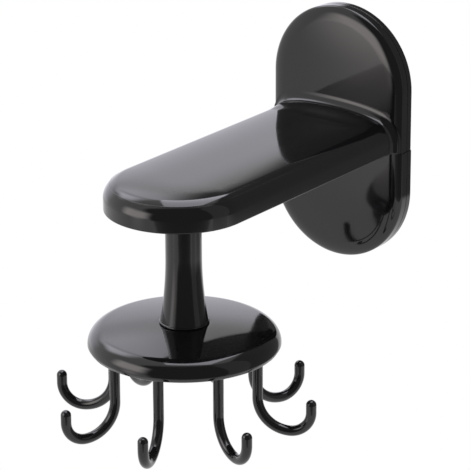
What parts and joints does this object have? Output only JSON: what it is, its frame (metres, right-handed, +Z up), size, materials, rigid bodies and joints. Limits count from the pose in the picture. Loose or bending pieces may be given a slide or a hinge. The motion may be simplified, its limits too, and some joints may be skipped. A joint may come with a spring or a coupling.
{
  "type": "adhesive coat hook rack",
  "caption": "Wall rack in black plastic: an upright oval plate that sticks to the wall, a flat arm with a round nose, and a turning domed disc of J-hooks on a flared post.",
  "frame": {"origin": "centre of the adhesive pad's rear face, on the wall plane", "axes": "+Z up, +Y into the wall, +X to the right when facing the wall; the arm stands out along -Y"},
  "size_m": [0.0954, 0.151, 0.1393],
  "materials": {
    "black_plastic": "high gloss moulded black",
    "nylon": "natural moulded nylon",
    "steel": "zinc plated",
    "adhesive_foam": "matt acrylic foam"
  },
  "bodies": {
    "bracket": {"wall_bracket": "black_plastic", "rear_plate": "black_plastic", "adhesive_pad": "adhesive_foam", "rear_plate_screw_upper": "steel", "rear_plate_screw_lower": "steel", "arm_cover": "black_plastic", "cover_screw_front": "steel", "cover_screw_left": "steel", "cover_screw_right": "steel", "cover_screw_rear": "steel", "pivot_bush": "nylon", "thrust_washer": "nylon"},
    "carousel": {"retaining_washer": "steel", "spindle_screw": "steel", "post": "black_plastic", "disc_cover": "black_plastic", "hook_plate": "black_plastic", "clamp_washer": "steel", "clamp_screw": "steel", "hook_1": "black_plastic", "hook_2": "black_plastic", "hook_3": "black_plastic", "hook_4": "black_plastic", "hook_5": "black_plastic", "hook_6": "black_plastic", "hook_7": "black_plastic", "hook_8": "black_plastic"}
  },
  "joints": [
    {"name": "carousel_spin", "type": "hinge", "parent": "bracket", "child": "carousel", "pos_m": [0, -0.1033, -0.00365], "axis": [0, 0, 1], "continuous": true}
  ]
}
